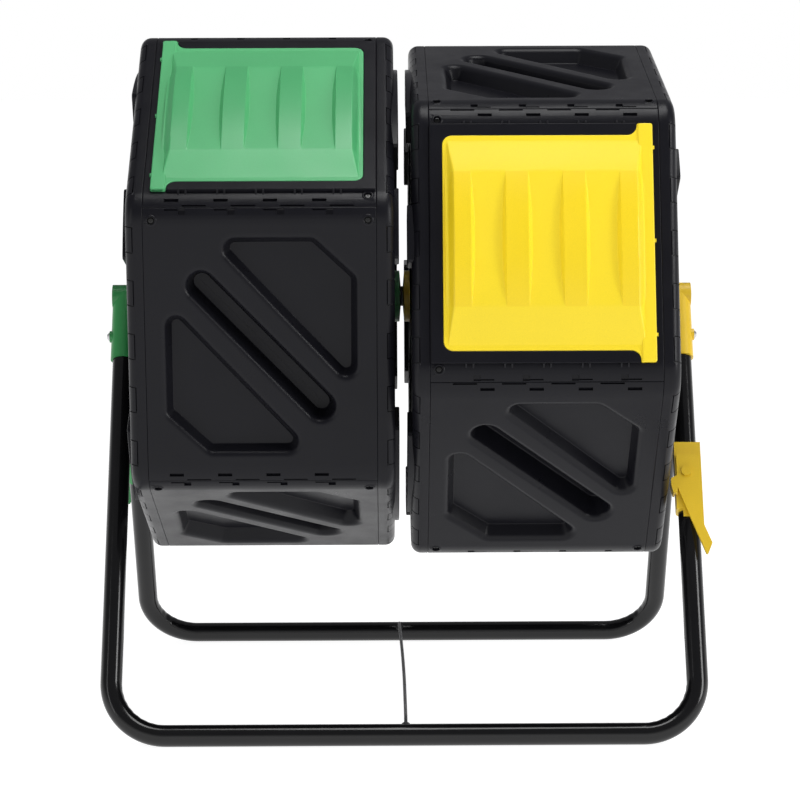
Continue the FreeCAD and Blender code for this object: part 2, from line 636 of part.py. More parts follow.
def cord_route():
    """Points of the spreading cord, from the rear grommet to the front one."""
    ends = []
    for sign, x in ((1, CORD_X_REAR), (-1, CORD_X_FRONT)):
        centre, out = grommet_frame(sign, x)
        root = centre + out * (TUBE_R + GROMMET_RISE)
        ends.append((root, root + out * CORD_FIRST_RUN))
    return [ends[0][0], ends[0][1], V(CORD_X_FRONT, 0, CORD_MID_Z), ends[1][1], ends[1][0]]


def rounded_route(points):
    """Straight runs joined by tangent arcs; prints each bend's radius."""
    edges = []
    here = points[0]
    for before, corner, after in zip(points, points[1:], points[2:]):
        back, on = before - corner, after - corner
        shorter = min(back.Length, on.Length)
        turn = pi - back.getAngle(on)
        radius = ARC_SHARE * shorter / tan(turn / 2)
        back.normalize()
        on.normalize()
        start, end = corner + back * (ARC_SHARE * shorter), corner + on * (ARC_SHARE * shorter)
        middle = corner + (back + on).normalize() * (radius / cos(turn / 2) - radius)
        edges.append(Part.LineSegment(here, start).toShape())
        edges.append(Part.Arc(start, middle, end).toShape())
        here = end
        print("cord bend radius %.1f" % radius)
    edges.append(Part.LineSegment(here, points[-1]).toShape())
    return Part.Wire(edges)


def spread_cord():
    route = cord_route()
    path = rounded_route(route)
    section = Part.Wire([Part.makeCircle(CORD_R, route[0], route[1] - route[0])])
    tube = path.makePipeShell([section], True, False)
    print("cord length %.1f" % path.Length)
    return tube


def leg_cross_rod(radius, x0, x1):
    """A rod across the front right leg at the height of its bolt."""
    return rod(radius, on_leg(x0, BOLT_AT), on_leg(x1, BOLT_AT))


def back_leg(shape):
    """Copy from the front right leg to the rear right one."""
    return shape.mirror(V(0, 0, 0), Y_AXIS)


def axle_bracket():
    """Right-hand moulding: a boss for the axle, a sleeve for each leg and a pad under each bolt head."""
    outer = LEG_X + BRACKET_R
    sleeve = rod(BRACKET_R, on_leg(LEG_X, 0), on_leg(LEG_X, BRACKET_REACH))
    pad = leg_cross_rod(PAD_R, LEG_X, outer + PAD_RISE)
    bore = rod(TUBE_R, on_leg(LEG_X, LEG_TOP), on_leg(LEG_X, BRACKET_REACH + OVERCUT))
    hole = leg_cross_rod(BOLT_R, BOSS_INNER_X, BOSS_OUTER_X)
    shape = x_rod(BRACKET_R, BOSS_INNER_X, BOSS_OUTER_X)
    shape = shape.fuse([sleeve, back_leg(sleeve), pad, back_leg(pad)])
    socket = x_rod(AXLE_R, BOSS_INNER_X - OVERCUT, AXLE_HALF)
    return shape.cut([bore, back_leg(bore), hole, back_leg(hole), socket])


def bracket_bolt():
    """Round-headed bolt through the right-hand sleeve of the front leg, with its head outside."""
    inner, outer = LEG_X - BRACKET_R - NUT_THICK - OVERCUT, LEG_X + BRACKET_R + PAD_RISE
    head = Part.makeCone(BOLT_HEAD_R, BOLT_R, BOLT_HEAD, on_leg(outer, BOLT_AT), X_AXIS)
    return leg_cross_rod(BOLT_R, inner, outer).fuse(head)


def bracket_nut():
    """Six-sided nut on the inner side of the sleeve."""
    nut = prism(regular(NUT_R), 0, 0, NUT_THICK)
    nut.rotate(V(0, 0, 0), Y_AXIS, RIGHT_ANGLE)
    nut.rotate(V(0, 0, 0), X_AXIS, degrees(atan2(LEG_DIR.y, -LEG_DIR.z)))
    nut.translate(on_leg(LEG_X - BRACKET_R - NUT_THICK, BOLT_AT))
    return nut.cut(leg_cross_rod(BOLT_R, BOSS_INNER_X - NUT_THICK, BOSS_OUTER_X))


def four_ways(shape):
    """Copies on both legs of both frames."""
    mirrored = shape.mirror(V(0, 0, 0), X_AXIS)
    return Part.makeCompound([shape, mirrored, half_turn(shape), half_turn(mirrored)])


# ---------------------------------------------------------------- locks, drawn on the front right leg
def to_leg(shape):
    """From lock coordinates (x outwards, y up the leg, z above the leg) to the front right leg."""
    placed = shape.copy()
    up = LEG_DIR * -1
    rows = [(1, 0, 0, LEG_X), (0, up.y, LEG_OUT.y, 0), (0, up.z, LEG_OUT.z, AXLE_HEIGHT), (0, 0, 0, 1)]
    matrix = FreeCAD.Matrix(*[value for row in rows for value in row])
    placed.Placement = FreeCAD.Placement(matrix).multiply(placed.Placement)
    return placed


def on_pivot(radius, low, high):
    """A rod on the lever's pivot line between two heights above the leg."""
    return rod(radius, V(PIVOT_X, -PIVOT_AT, low), V(PIVOT_X, -PIVOT_AT, high))


def lock_body():
    """Sleeve clipped round the leg with a flat front for the lever and a small tab under it."""
    low, high = -LOCK_BOTTOM, -LOCK_TOP
    shape = rod(LOCK_BACK_R, V(0, low, 0), V(0, high, 0))
    shape = shape.fuse(block(-LOCK_HALF, LOCK_HALF, low, high, 0, LOCK_FRONT))
    tab_width, tab_reach, tab_thick = LOCK_TAB
    shape = shape.fuse(block(-tab_width, 0, low - tab_reach, low + WALL, LOCK_FRONT - tab_thick, LOCK_FRONT))
    shape = shape.cut(rod(TUBE_R, V(0, low - OVERCUT, 0), V(0, high + OVERCUT, 0)))
    return shape.cut(on_pivot(PIVOT_R, PIVOT_ROOT, LOCK_FRONT + OVERCUT))


def lock_pin():
    """Headed pin pressed into the sleeve; the lever turns on it."""
    top = LEVER_BACK + LEVER_THICK + LEVER_GAP
    return on_pivot(PIVOT_R, PIVOT_ROOT, top).fuse(on_pivot(PIVOT_HEAD_R, top, top + PIN_HEAD))


def lock_lever():
    """Flat lever with a slanting tail and a tongue that reaches beside the sleeve towards the drum."""
    low, high = LEVER_BACK, LEVER_BACK + LEVER_THICK
    plate = prism(LEVER_OUTLINE, LEVER_CORNER, low, high)
    side = prism(TONGUE, 0, TONGUE_LOW, high)
    side = side.cut(block(TONGUE_CLEAR_X, LOCK_HALF, -LOCK_BOTTOM, LOCK_TOP, 0, low))
    shape = plate.fuse(side)
    shape.translate(V(0, -PIVOT_AT, 0))
    return shape.cut(on_pivot(PIVOT_R + RUNNING_GAP, 0, high + OVERCUT))


def make_stand():
    front = leg_frame()
    save("front_leg_frame", front.cut(grommet_hole(-1, CORD_X_FRONT)))
    save("rear_leg_frame", half_turn(front).cut(grommet_hole(1, CORD_X_REAR)))
    bracket = axle_bracket()
    save("right_axle_bracket", bracket)
    save("left_axle_bracket", half_turn(bracket))
    save("bracket_bolts", four_ways(bracket_bolt()))
    save("bracket_nuts", four_ways(bracket_nut()))
    save("axle", x_rod(AXLE_R, -AXLE_HALF, AXLE_HALF))
    middle = MIDDLE_FACE_X - RUNNING_GAP
    save("centre_washer", x_rod(MIDDLE_WASHER_R, -middle, middle).cut(x_rod(AXLE_R, -middle, middle)))
    inner, outer = DRUM_MID_X + CAP_U + RING_RISE + THRUST_GAP, BOSS_INNER_X
    thrust = x_rod(HUB_BARREL_R, inner, outer).cut(x_rod(AXLE_R, inner, outer))
    save("thrust_washers", Part.makeCompound([thrust, half_turn(thrust)]))
    save("cord_grommets", Part.makeCompound([grommet(-1, CORD_X_FRONT), grommet(1, CORD_X_REAR)]))
    save("spread_cord", spread_cord())
    for name, shape in (("lock_body", lock_body()), ("lock_pin", lock_pin()), ("lock_lever", lock_lever())):
        save("right_" + name, to_leg(shape))
        save("left_" + name, half_turn(to_leg(shape)))


os.makedirs("parts", exist_ok=True)
make_stand()
for drum_side in ("left", "right"):
    make_drum(drum_side)
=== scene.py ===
"""Looks of the twin-drum compost tumbler: moulded skins, doors, tube frames, materials, light and camera.

Sizes are in metres.  A drum's own angles run from the front (-Y) up over the top, and the right
drum is the left one turned half a turn about Z, as in the CAD model.
"""

import json
from math import acos, atan2, cos, hypot, pi, radians, sin, tan

import bmesh
import bpy
from mathutils import Matrix, Vector
from mathutils.geometry import delaunay_2d_cdt

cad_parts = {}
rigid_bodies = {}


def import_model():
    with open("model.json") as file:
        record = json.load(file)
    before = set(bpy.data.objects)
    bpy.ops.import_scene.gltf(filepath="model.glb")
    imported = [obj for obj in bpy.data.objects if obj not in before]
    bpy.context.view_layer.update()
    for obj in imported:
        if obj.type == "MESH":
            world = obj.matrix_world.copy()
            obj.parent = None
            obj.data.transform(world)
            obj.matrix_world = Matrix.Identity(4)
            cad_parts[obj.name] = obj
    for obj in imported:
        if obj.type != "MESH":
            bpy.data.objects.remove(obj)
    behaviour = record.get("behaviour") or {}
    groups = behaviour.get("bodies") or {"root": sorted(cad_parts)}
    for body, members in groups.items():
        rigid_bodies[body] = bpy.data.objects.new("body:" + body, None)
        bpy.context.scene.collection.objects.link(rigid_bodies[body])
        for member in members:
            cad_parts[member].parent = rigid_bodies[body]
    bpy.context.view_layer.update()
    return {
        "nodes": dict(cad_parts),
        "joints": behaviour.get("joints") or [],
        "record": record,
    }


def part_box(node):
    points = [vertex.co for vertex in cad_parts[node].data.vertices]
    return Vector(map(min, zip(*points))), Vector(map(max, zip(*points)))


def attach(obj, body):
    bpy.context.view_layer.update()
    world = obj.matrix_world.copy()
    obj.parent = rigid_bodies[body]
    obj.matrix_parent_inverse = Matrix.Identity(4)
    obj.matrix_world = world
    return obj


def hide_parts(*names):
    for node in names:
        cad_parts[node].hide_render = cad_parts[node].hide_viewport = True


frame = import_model()
MM = 0.001

# ---------------------------------------------------------------- places that the frame gives
JOINTS = {joint["name"]: joint for joint in frame["joints"]}
AXLE_Z = JOINTS["left_drum_spin"]["pos_m"][2]
DRUM_X = JOINTS["right_drum_spin"]["pos_m"][0]
PANEL_LOW, PANEL_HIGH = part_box("right_panel_1")
SEAM_U = (PANEL_HIGH.x - PANEL_LOW.x) / 2

# ---------------------------------------------------------------- driving sizes
HEX_R = 320 * MM
SIDES, SIDE_ANGLE, CORNER_ANGLE = 6, 60, 30
HALF_CORNER = radians(CORNER_ANGLE)
APOTHEM = HEX_R * cos(HALF_CORNER)
FOLD_R = 42 * MM
WALL = 3 * MM
FLAT_V = (APOTHEM - FOLD_R) * tan(HALF_CORNER)
EDGE_S = FLAT_V + FOLD_R * HALF_CORNER
DOOR_ANGLE = {"left": 53.46, "right": 162.72}
COLOUR_NAME = {"left": "green", "right": "yellow"}

LEG_X = 335.5 * MM
TUBE_R = 12.5 * MM
FOOT_Y = 280 * MM
BEND_R = 64 * MM
LEG_TOP = 30 * MM


# ---------------------------------------------------------------- outlines in a plane
def rectangle(u0, u1, v0, v1):
    return [(u0, v0), (u1, v0), (u1, v1), (u0, v1)]


def circle(u, v, radius, steps=20):
    angles = [2 * pi * i / steps for i in range(steps)]
    return [(u + radius * cos(a), v + radius * sin(a)) for a in angles]


def turned(points, angle):
    c, s = cos(angle), sin(angle)
    return [(x * c - y * s, x * s + y * c) for x, y in points]


def offset(points, distance):
    """Move every edge of a counter-clockwise outline outwards by the same distance."""
    if distance == 0:
        return list(points)
    result = []
    count = len(points)
    for i in range(count):
        (ax, ay), (bx, by), (cx, cy) = points[i - 1], points[i], points[(i + 1) % count]
        first, second = hypot(bx - ax, by - ay), hypot(cx - bx, cy - by)
        n1 = ((by - ay) / first, (ax - bx) / first)
        n2 = ((cy - by) / second, (bx - cx) / second)
        scale = distance / max(1 + n1[0] * n2[0] + n1[1] * n2[1], 0.2)
        result.append((bx + (n1[0] + n2[0]) * scale, by + (n1[1] + n2[1]) * scale))
    return result


def rounded(points, radii, steps=7):
    """Round an outline's corners, convex or hollow; radii is one number or one per corner."""
    count = len(points)
    if not isinstance(radii, (list, tuple)):
        radii = [radii] * count
    result = []
    for i in range(count):
        before, here, after = (Vector(points[j % count]) for j in (i - 1, i, i + 1))
        back, on = (before - here).normalized(), (after - here).normalized()
        half = acos(max(-1, min(1, back.dot(on)))) / 2
        if radii[i] == 0 or half > pi / 2 - 0.001:
            result.append(tuple(here))
            continue
        reach = radii[i] / tan(half)
        centre = here + (back + on).normalized() * (radii[i] / sin(half))
        start, end = here + back * reach - centre, here + on * reach - centre
        sweep = atan2(start.x * end.y - start.y * end.x, start.dot(end))
        for k in range(steps + 1):
            a = sweep * k / steps
            arm = Vector((start.x * cos(a) - start.y * sin(a), start.x * sin(a) + start.y * cos(a)))
            result.append(tuple(centre + arm))
    return result


def arc_band(inner, outer, start, sweep, corner, steps=16):
    """Part of a flat ring with rounded corners; angles in degrees."""
    a0, a1 = radians(start), radians(start + sweep)
    outline = []
    for radius, first, last in ((outer, a0, a1), (inner, a1, a0)):
        margin = corner / radius * (1 if last > first else -1)
        for k in range(steps + 1):
            a = first + margin + (last - first - 2 * margin) * k / steps
            outline.append((radius * cos(a), radius * sin(a)))
        side = last
        inward = corner if radius == outer else -corner
        outline.append(((radius - inward) * cos(side), (radius - inward) * sin(side)))
    # the loop gives one point for each end of the two arcs; the last two corners are added here
    outline.append(((outer - corner) * cos(a0), (outer - corner) * sin(a0)))
    outline.insert(steps + 2, ((inner + corner) * cos(a1), (inner + corner) * sin(a1)))
    return outline


def split_at(points, levels):
    """Add a point wherever an edge crosses one of the horizontal levels."""
    result = []
    count = len(points)
    for i in range(count):
        (x0, y0), (x1, y1) = points[i], points[(i + 1) % count]
        result.append((x0, y0))
        crossings = [y for y in levels if min(y0, y1) + 1e-7 < y < max(y0, y1) - 1e-7]
        for y in sorted(crossings, reverse=y1 < y0):
            result.append((x0 + (x1 - x0) * (y - y0) / (y1 - y0), y))
    return result


def sunk(run, depth, rim, foot, steps=5):
    """Profile of a recess: a rounded rim, a sloping wall and a rounded foot, as (offset, height)."""
    angle = atan2(depth, run)
    lead, tail = rim * tan(angle / 2), foot * tan(angle / 2)
    profile = []
    for k in range(steps + 1):
        a = angle * k / steps
        profile.append((lead - rim * sin(a), -rim * (1 - cos(a))))
    for k in range(steps, -1, -1):
        a = angle * k / steps
        profile.append((foot * sin(a) - run - tail, foot * (1 - cos(a)) - depth))
    return profile


def raised(run, rise, foot, crest, steps=5):
    """Profile of a raised island whose foot follows the outline."""
    return [(-d - run, h + rise) for d, h in reversed(sunk(run, rise, crest, foot, steps))]


# ---------------------------------------------------------------- surfaces
class Feature:
    """A recess or an island: its outline, its profile and what lies on its floor."""

    def __init__(self, outline, profile, children=(), closed=True):
        self.outline, self.profile, self.children, self.closed = outline, profile, children, closed

    def edge(self):
        return offset(self.outline, self.profile[0][0])


class Skin:
    """Collects the faces of one surface; place(x, y, h) puts each flat point in space."""

    def __init__(self, place=lambda x, y, h: Vector((x, y, h))):
        self.place, self.points, self.faces = place, [], []

    def loop(self, outline, height):
        start = len(self.points)
        self.points += [self.place(x, y, height) for x, y in outline]
        return list(range(start, len(self.points)))

    def strip(self, outer, inner):
        for i in range(len(outer)):
            j = (i + 1) % len(outer)
            self.faces.append((outer[i], outer[j], inner[j], inner[i]))

    def fill(self, outline, holes, height, lines=(), up=True):
        """Triangulate the flat between an outline and its holes, following the given lines."""
        points, faces, edges = [], [], []
        for loop in [outline] + list(holes):
            faces.append(list(range(len(points), len(points) + len(loop))))
            points += loop
        for start, end in lines:
            edges.append((len(points), len(points) + 1))
            points += [start, end]
        flat = [Vector(p) for p in points]
        found, _, triangles, _, _, inside = delaunay_2d_cdt(flat, edges, faces, 0, 1e-7)
        base = len(self.points)
        self.points += [self.place(p.x, p.y, height) for p in found]
        for triangle, owners in zip(triangles, inside):
            if set(owners) == {0}:
                face = [base + i for i in triangle]
                self.faces.append(face if up else face[::-1])

    def relief(self, feature, base=0.0, lines=()):
        """Build a feature and everything on its floor."""
        loops = [(offset(feature.outline, d), base + h) for d, h in feature.profile]
        rings = [self.loop(points, height) for points, height in loops]
        for outer, inner in zip(rings, rings[1:]):
            self.strip(outer, inner)
        points, height = loops[-1]
        if feature.closed and not feature.children and not lines:
            self.faces.append(tuple(rings[-1]))
        elif feature.closed:
            self.fill(points, [child.edge() for child in feature.children], height, lines)
            for child in feature.children:
                self.relief(child, height)

    def slab(self, outline, low, high, edge, children=()):
        """A closed plate with a rounded upper edge."""
        profile = [(0, low)] + raised_edge(edge, high)
        self.relief(Feature(outline, profile, children))
        self.fill(outline, [], low, up=False)


def raised_edge(edge, height, steps=3):
    """Profile of a quarter-round edge that ends at a height."""
    if edge == 0:
        return [(0, height)]
    return [(-edge * (1 - cos(pi / 2 * k / steps)), height - edge * (1 - sin(pi / 2 * k / steps)))
            for k in range(steps + 1)]


def piece(name, skins, matrix, body, material, flip=False, thickness=0.0, sharp=35):
    """Turn surfaces into one object on a body, shaded smooth except at its sharp edges."""
    mesh = bpy.data.meshes.new(name)
    points, faces = [], []
    for skin in skins:
        faces += [[len(points) + i for i in face] for face in skin.faces]
        points += skin.points
    mesh.from_pydata([matrix @ p for p in points], [], [f[::-1] for f in faces] if flip else faces)
    tidy = bmesh.new()
    tidy.from_mesh(mesh)
    bmesh.ops.remove_doubles(tidy, verts=tidy.verts, dist=5e-6)
    bmesh.ops.dissolve_degenerate(tidy, edges=tidy.edges, dist=1e-6)
    tidy.to_mesh(mesh)
    tidy.free()
    mesh.shade_smooth()
    mesh.set_sharp_from_angle(angle=radians(sharp))
    obj = bpy.data.objects.new(name, mesh)
    bpy.context.scene.collection.objects.link(obj)
    mesh.materials.append(material)
    if thickness:
        shell = obj.modifiers.new("wall", "SOLIDIFY")
        shell.thickness, shell.offset, shell.use_even_offset = thickness, -1, True
    weigh = obj.modifiers.new("normals", "WEIGHTED_NORMAL")
    weigh.keep_sharp = True
    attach(obj, body)
    return obj


# ---------------------------------------------------------------- materials
class Finish:
    """A procedural material whose nodes are added one by one."""

    def __init__(self, name, roughness, metallic=0.0, coat=0.0):
        self.material = bpy.data.materials.new(name)
        self.material.use_nodes = True
        self.tree = self.material.node_tree
        self.shader = self.tree.nodes["Principled BSDF"]
        self.shader.inputs["Roughness"].default_value = roughness
        self.shader.inputs["Metallic"].default_value = metallic
        self.shader.inputs["Coat Weight"].default_value = coat
        self.place = self.node("ShaderNodeTexCoord").outputs["Object"]
        self.normal = None

    def node(self, kind, **settings):
        made = self.tree.nodes.new(kind)
        for key, value in settings.items():
            setattr(made, key, value)
        return made

    def link(self, source, target):
        self.tree.links.new(source, target)

    def noise(self, scale, detail=3.0, roughness=0.5, stretch=None):
        """Noise with its features about 1 / scale metres across."""
        made = self.node("ShaderNodeTexNoise")
        made.inputs["Scale"].default_value = scale
        made.inputs["Detail"].default_value = detail
        made.inputs["Roughness"].default_value = roughness
        place = self.place
        if stretch:
            mapping = self.node("ShaderNodeMapping")
            mapping.inputs["Scale"].default_value = stretch
            self.link(place, mapping.inputs["Vector"])
            place = mapping.outputs["Vector"]
        self.link(place, made.inputs["Vector"])
        return made.outputs["Fac"]

    def ramp(self, source, low, high, start=0.3, end=0.7):
        made = self.node("ShaderNodeValToRGB")
        made.color_ramp.elements[0].position, made.color_ramp.elements[1].position = start, end
        made.color_ramp.elements[0].color, made.color_ramp.elements[1].color = low, high
        self.link(source, made.inputs["Fac"])
        return made.outputs["Color"]

    def colour(self, base, spread, scale, speckle=0.0, speckle_scale=1500.0):
        """Base colour that drifts by spread over patches, with finer flecks in it."""
        low = [c * (1 - spread) for c in base] + [1]
        high = [min(c * (1 + spread), 1) for c in base] + [1]
        tone = self.ramp(self.noise(scale, 4.0), low, high)
        if speckle:
            dark = [1 - speckle] * 3 + [1]
            light = [1 + speckle] * 3 + [1]
            flecks = self.ramp(self.noise(speckle_scale, 2.0), dark, light, 0.35, 0.65)
            mix = self.node("ShaderNodeMix", data_type="RGBA", blend_type="MULTIPLY")
            mix.inputs["Factor"].default_value = 1.0
            self.link(tone, mix.inputs["A"])
            self.link(flecks, mix.inputs["B"])
            tone = mix.outputs["Result"]
        self.link(tone, self.shader.inputs["Base Color"])

    def gloss(self, low, high, scale, stretch=None):
        """Roughness that wanders between two values."""
        spread = self.node("ShaderNodeMapRange")
        spread.inputs["From Min"].default_value, spread.inputs["From Max"].default_value = 0.3, 0.7
        spread.inputs["To Min"].default_value, spread.inputs["To Max"].default_value = low, high
        self.link(self.noise(scale, 4.0, 0.6, stretch), spread.inputs["Value"])
        self.link(spread.outputs["Result"], self.shader.inputs["Roughness"])

    def bump(self, height, distance, strength=1.0):
        """Add one layer of relief; distance is its height in metres."""
        made = self.node("ShaderNodeBump")
        made.inputs["Distance"].default_value = distance
        made.inputs["Strength"].default_value = strength
        self.link(height, made.inputs["Height"])
        if self.normal:
            self.link(self.normal, made.inputs["Normal"])
        self.normal = made.outputs["Normal"]
        self.link(self.normal, self.shader.inputs["Normal"])


def moulded(name, base, rough=(0.36, 0.5), grain=0.00006, waviness=0.0006, spread=0.06, speckle=0.04,
            shine=0.5):
    """Injection-moulded plastic: fine spark-eroded grain over a slightly wavy wall."""
    finish = Finish(name, rough[0])
    finish.shader.inputs["Specular IOR Level"].default_value = shine
    finish.colour(base, spread, 7.0, speckle)
    finish.gloss(rough[0], rough[1], 24.0)
    finish.bump(finish.noise(9.0, 2.0), waviness, 0.5)
    finish.bump(finish.noise(1900.0, 3.0, 0.7), grain, 0.8)
    return finish.material


def enamel(name, base):
    """Gloss powder coat with a faint orange peel and a little dust."""
    finish = Finish(name, 0.16)
    finish.shader.inputs["Specular IOR Level"].default_value = 0.4
    finish.colour(base, 0.25, 15.0, 0.1, 700.0)
    finish.gloss(0.10, 0.18, 40.0)
    finish.bump(finish.noise(330.0, 2.0), 0.00005, 0.6)
    return finish.material


def zinc(name, base):
    """Bright zinc-plated steel with turning marks."""
    finish = Finish(name, 0.28, metallic=1.0)
    finish.colour(base, 0.12, 60.0, 0.08, 900.0)
    finish.gloss(0.2, 0.4, 120.0, (1.0, 9.0, 9.0))
    finish.bump(finish.noise(700.0, 2.0, 0.5, (0.1, 1.0, 1.0)), 0.00003, 0.6)
    return finish.material


def braid(name, base):
    """Tightly braided cord: two crossing diagonal waves along it."""
    finish = Finish(name, 0.72)
    finish.colour(base, 0.3, 400.0, 0.15, 2500.0)
    finish.shader.inputs["Sheen Weight"].default_value = 0.25
    for slant in (1.0, -1.0):
        mapping = finish.node("ShaderNodeMapping")
        mapping.inputs["Rotation"].default_value = (0, 0, slant * pi / 4)
        finish.link(finish.place, mapping.inputs["Vector"])
        wave = finish.node("ShaderNodeTexWave", wave_type="BANDS", bands_direction="DIAGONAL")
        wave.inputs["Scale"].default_value = 160.0
        finish.link(mapping.outputs["Vector"], wave.inputs["Vector"])
        finish.bump(wave.outputs["Fac"], 0.0004, 0.8)
    return finish.material


BLACK_PLASTIC = moulded("black_moulded_plastic", (0.0066, 0.0066, 0.0092), (0.27, 0.37), shine=0.18)
MATERIALS = {
    "black_plastic": BLACK_PLASTIC,
    "green_door": moulded("green_door_plastic", (0.088, 0.440, 0.170), (0.34, 0.44), spread=0.04),
    "yellow_door": moulded("yellow_door_plastic", (0.985, 0.745, 0.020), (0.34, 0.44), spread=0.02),
    # painted shade: the rib-top materials are darker copies of the door colours, standing in for how light
    # falls on the bowed ribs
    "green_rib": moulded("green_rib_painted_shade", (0.072, 0.395, 0.148), (0.30, 0.40), spread=0.04),
    "yellow_rib": moulded("yellow_rib_painted_shade", (0.950, 0.690, 0.012), (0.30, 0.40), spread=0.02),
    "green_plastic": moulded("green_part_plastic", (0.030, 0.265, 0.070), (0.32, 0.44)),
    "yellow_plastic": moulded("yellow_part_plastic", (0.780, 0.520, 0.020), (0.32, 0.44)),
    "black_nylon": moulded("black_nylon", (0.018, 0.018, 0.019), (0.45, 0.6)),
    "black_tube": enamel("black_tube_enamel", (0.004, 0.004, 0.0045)),
    "zinc_steel": zinc("zinc_plated_steel", (0.60, 0.60, 0.61)),
    # black oxide screw heads; their black also stands in for the painted shade of deeper screw holes
    "black_screw": enamel("black_oxide_screw_and_hole_shade", (0.004, 0.004, 0.004)),
    "black_cord": braid("braided_cord", (0.040, 0.040, 0.044)),
}


# ---------------------------------------------------------------- placing on a drum
HALF_TURN = Matrix.Rotation(pi, 4, "Z")


def on_side(side, angle):
    """From a panel's own plane (u along the drum, v round it, h outwards) to one side of a drum."""
    place = Matrix.Translation((-DRUM_X, 0, AXLE_Z)) @ Matrix.Rotation(radians(90 - angle), 4, "X")
    place = place @ Matrix.Translation((0, 0, APOTHEM))
    return HALF_TURN @ place if side == "right" else place


def on_end(side, end, turn):
    """From an end cap's own plane (x to the front, y up, z outwards) to one end of a drum."""
    out = -1 if end == "outer" else 1
    place = Matrix(((0, 0, out, out * SEAM_U - DRUM_X), (-1, 0, 0, 0), (0, 1, 0, AXLE_Z), (0, 0, 0, 1)))
    place = place @ Matrix.Rotation(radians(turn), 4, "Z")
    return HALF_TURN @ place if side == "right" else place


def folded(u, s, h):
    """A point of a side panel; beyond its flat the sheet bends round the drum's corner."""
    over = abs(s) - FLAT_V
    if over <= 0:
        return Vector((u, s, h))
    a = over / FOLD_R
    v = FLAT_V + (FOLD_R + h) * sin(a)
    return Vector((u, v if s > 0 else -v, (FOLD_R + h) * cos(a) - FOLD_R))


# ---------------------------------------------------------------- side panels
SEAM_EDGE = 1.0 * MM
FOLD_STEPS = 5
PANELS = range(1, SIDES)
FOLD_LEVELS = [sign * (FLAT_V + (EDGE_S - SEAM_EDGE - FLAT_V) * k / FOLD_STEPS)
               for sign in (-1, 1) for k in range(FOLD_STEPS)]
PENTAGON = [(-58.8 * MM, 123.4 * MM), (108.1 * MM, -57 * MM),
            (108.1 * MM, 78.4 * MM), (60.3 * MM, 123.4 * MM)]
POCKET_CORNER = 13.5 * MM
SLOT_LENGTH, SLOT_WIDTH, SLOT_TILT = 224 * MM, 33 * MM, radians(-46.3)
SCREW_U, SCREW_V = 120 * MM, 143 * MM
HEAD_R, HEAD_LOW, HEAD_TOP, HEAD_EDGE = 3.4 * MM, -2.6 * MM, -1.2 * MM, 0.8 * MM
CROSS_ARM, CROSS_HALF, CROSS_DEPTH = 1.9 * MM, 0.45 * MM, 0.9 * MM
SNAP_PITCH, SNAP_COUNT = 54.6 * MM, 4


def sheet_outline():
    return split_at(rectangle(-SEAM_U, SEAM_U, -EDGE_S, EDGE_S), FOLD_LEVELS)


def fold_lines():
    half = SEAM_U - SEAM_EDGE
    return [((-half, s), (half, s)) for s in FOLD_LEVELS]


def cut_in(u0, u1, s0, s1, depth):
    """A small square-sided opening in or near a fold."""
    return Feature(split_at(rectangle(u0, u1, s0, s1), FOLD_LEVELS), [(0, 0), (0, -depth)])


def snap_details():
    """Windows, slits and notches of the snap joint between neighbouring panels."""
    found = []
    for k in range(SNAP_COUNT):
        shift = k * SNAP_PITCH
        window, slit, notch = -97.6 * MM + shift, -72.5 * MM + shift, -86 * MM + shift
        found.append(cut_in(window - 8 * MM, window + 8 * MM, -151 * MM, -147 * MM, 3.4 * MM))
        found.append(cut_in(slit - 13.5 * MM, slit + 13.5 * MM, -156.7 * MM, -154.9 * MM, 3 * MM))
        low, high = notch - 4 * MM, notch + 4 * MM
        shape = [(low - 15 * MM, 154 * MM), (low, 154 * MM), (low, 149.4 * MM), (high, 149.4 * MM),
                 (high, 156.3 * MM), (low, 156.3 * MM), (low, 155.7 * MM), (low - 15 * MM, 155.7 * MM)]
        found.append(Feature(split_at(shape, FOLD_LEVELS), [(0, 0), (0, -2.4 * MM)]))
    return found


def screw_seat(u, v):
    """A raised ring round a sunk screw."""
    profile = [(6.8, 0), (6.3, 0.25), (5.9, 0.65), (5.4, 0.8), (4.8, 0.8), (4.4, 0.5), (4.3, 0), (4.3, -2.6)]
    base = circle(u, v, 5 * MM)
    levels = split_at(base, FOLD_LEVELS)
    return Feature(levels, [((r - 5) * MM, h * MM) for r, h in profile])


def screw_head(side, angle, u, v):
    """A sunk pan head with a cross recess."""
    matrix = on_side(side, angle)
    skin = Skin(lambda x, y, h: matrix @ folded(x, y, h))
    quarter = [(CROSS_ARM, -CROSS_HALF), (CROSS_ARM, CROSS_HALF), (CROSS_HALF, CROSS_HALF)]
    cross = [(u + x, v + y) for k in range(4) for x, y in turned(quarter, k * pi / 2)]
    recess = Feature(cross, [(0, 0), (-0.15 * MM, -CROSS_DEPTH)])
    skin.slab(circle(u, v, HEAD_R, 24), HEAD_LOW, HEAD_TOP, HEAD_EDGE, [recess])
    return skin


def panel_features():
    other = [(-u, -v) for u, v in PENTAGON]
    half_l, half_w = SLOT_LENGTH / 2, SLOT_WIDTH / 2
    slot = turned(rounded(rectangle(-half_l, half_l, -half_w, half_w), half_w - 0.3 * MM, 9), SLOT_TILT)
    pocket = sunk(7.5 * MM, 17 * MM, 9 * MM, 1.2 * MM, 7)
    trough = sunk(6.5 * MM, 30 * MM, 8 * MM, 2 * MM, 7)
    found = [Feature(rounded(shape, POCKET_CORNER), pocket) for shape in (PENTAGON, other)]
    found.append(Feature(slot, trough))
    found += [screw_seat(u, SCREW_V) for u in (-SCREW_U, SCREW_U)]
    return found + snap_details()


def plain_skin():
    skin = Skin(folded)
    sheet = Feature(sheet_outline(), raised_edge(SEAM_EDGE, 0), panel_features())
    skin.relief(sheet, 0, fold_lines())
    return skin


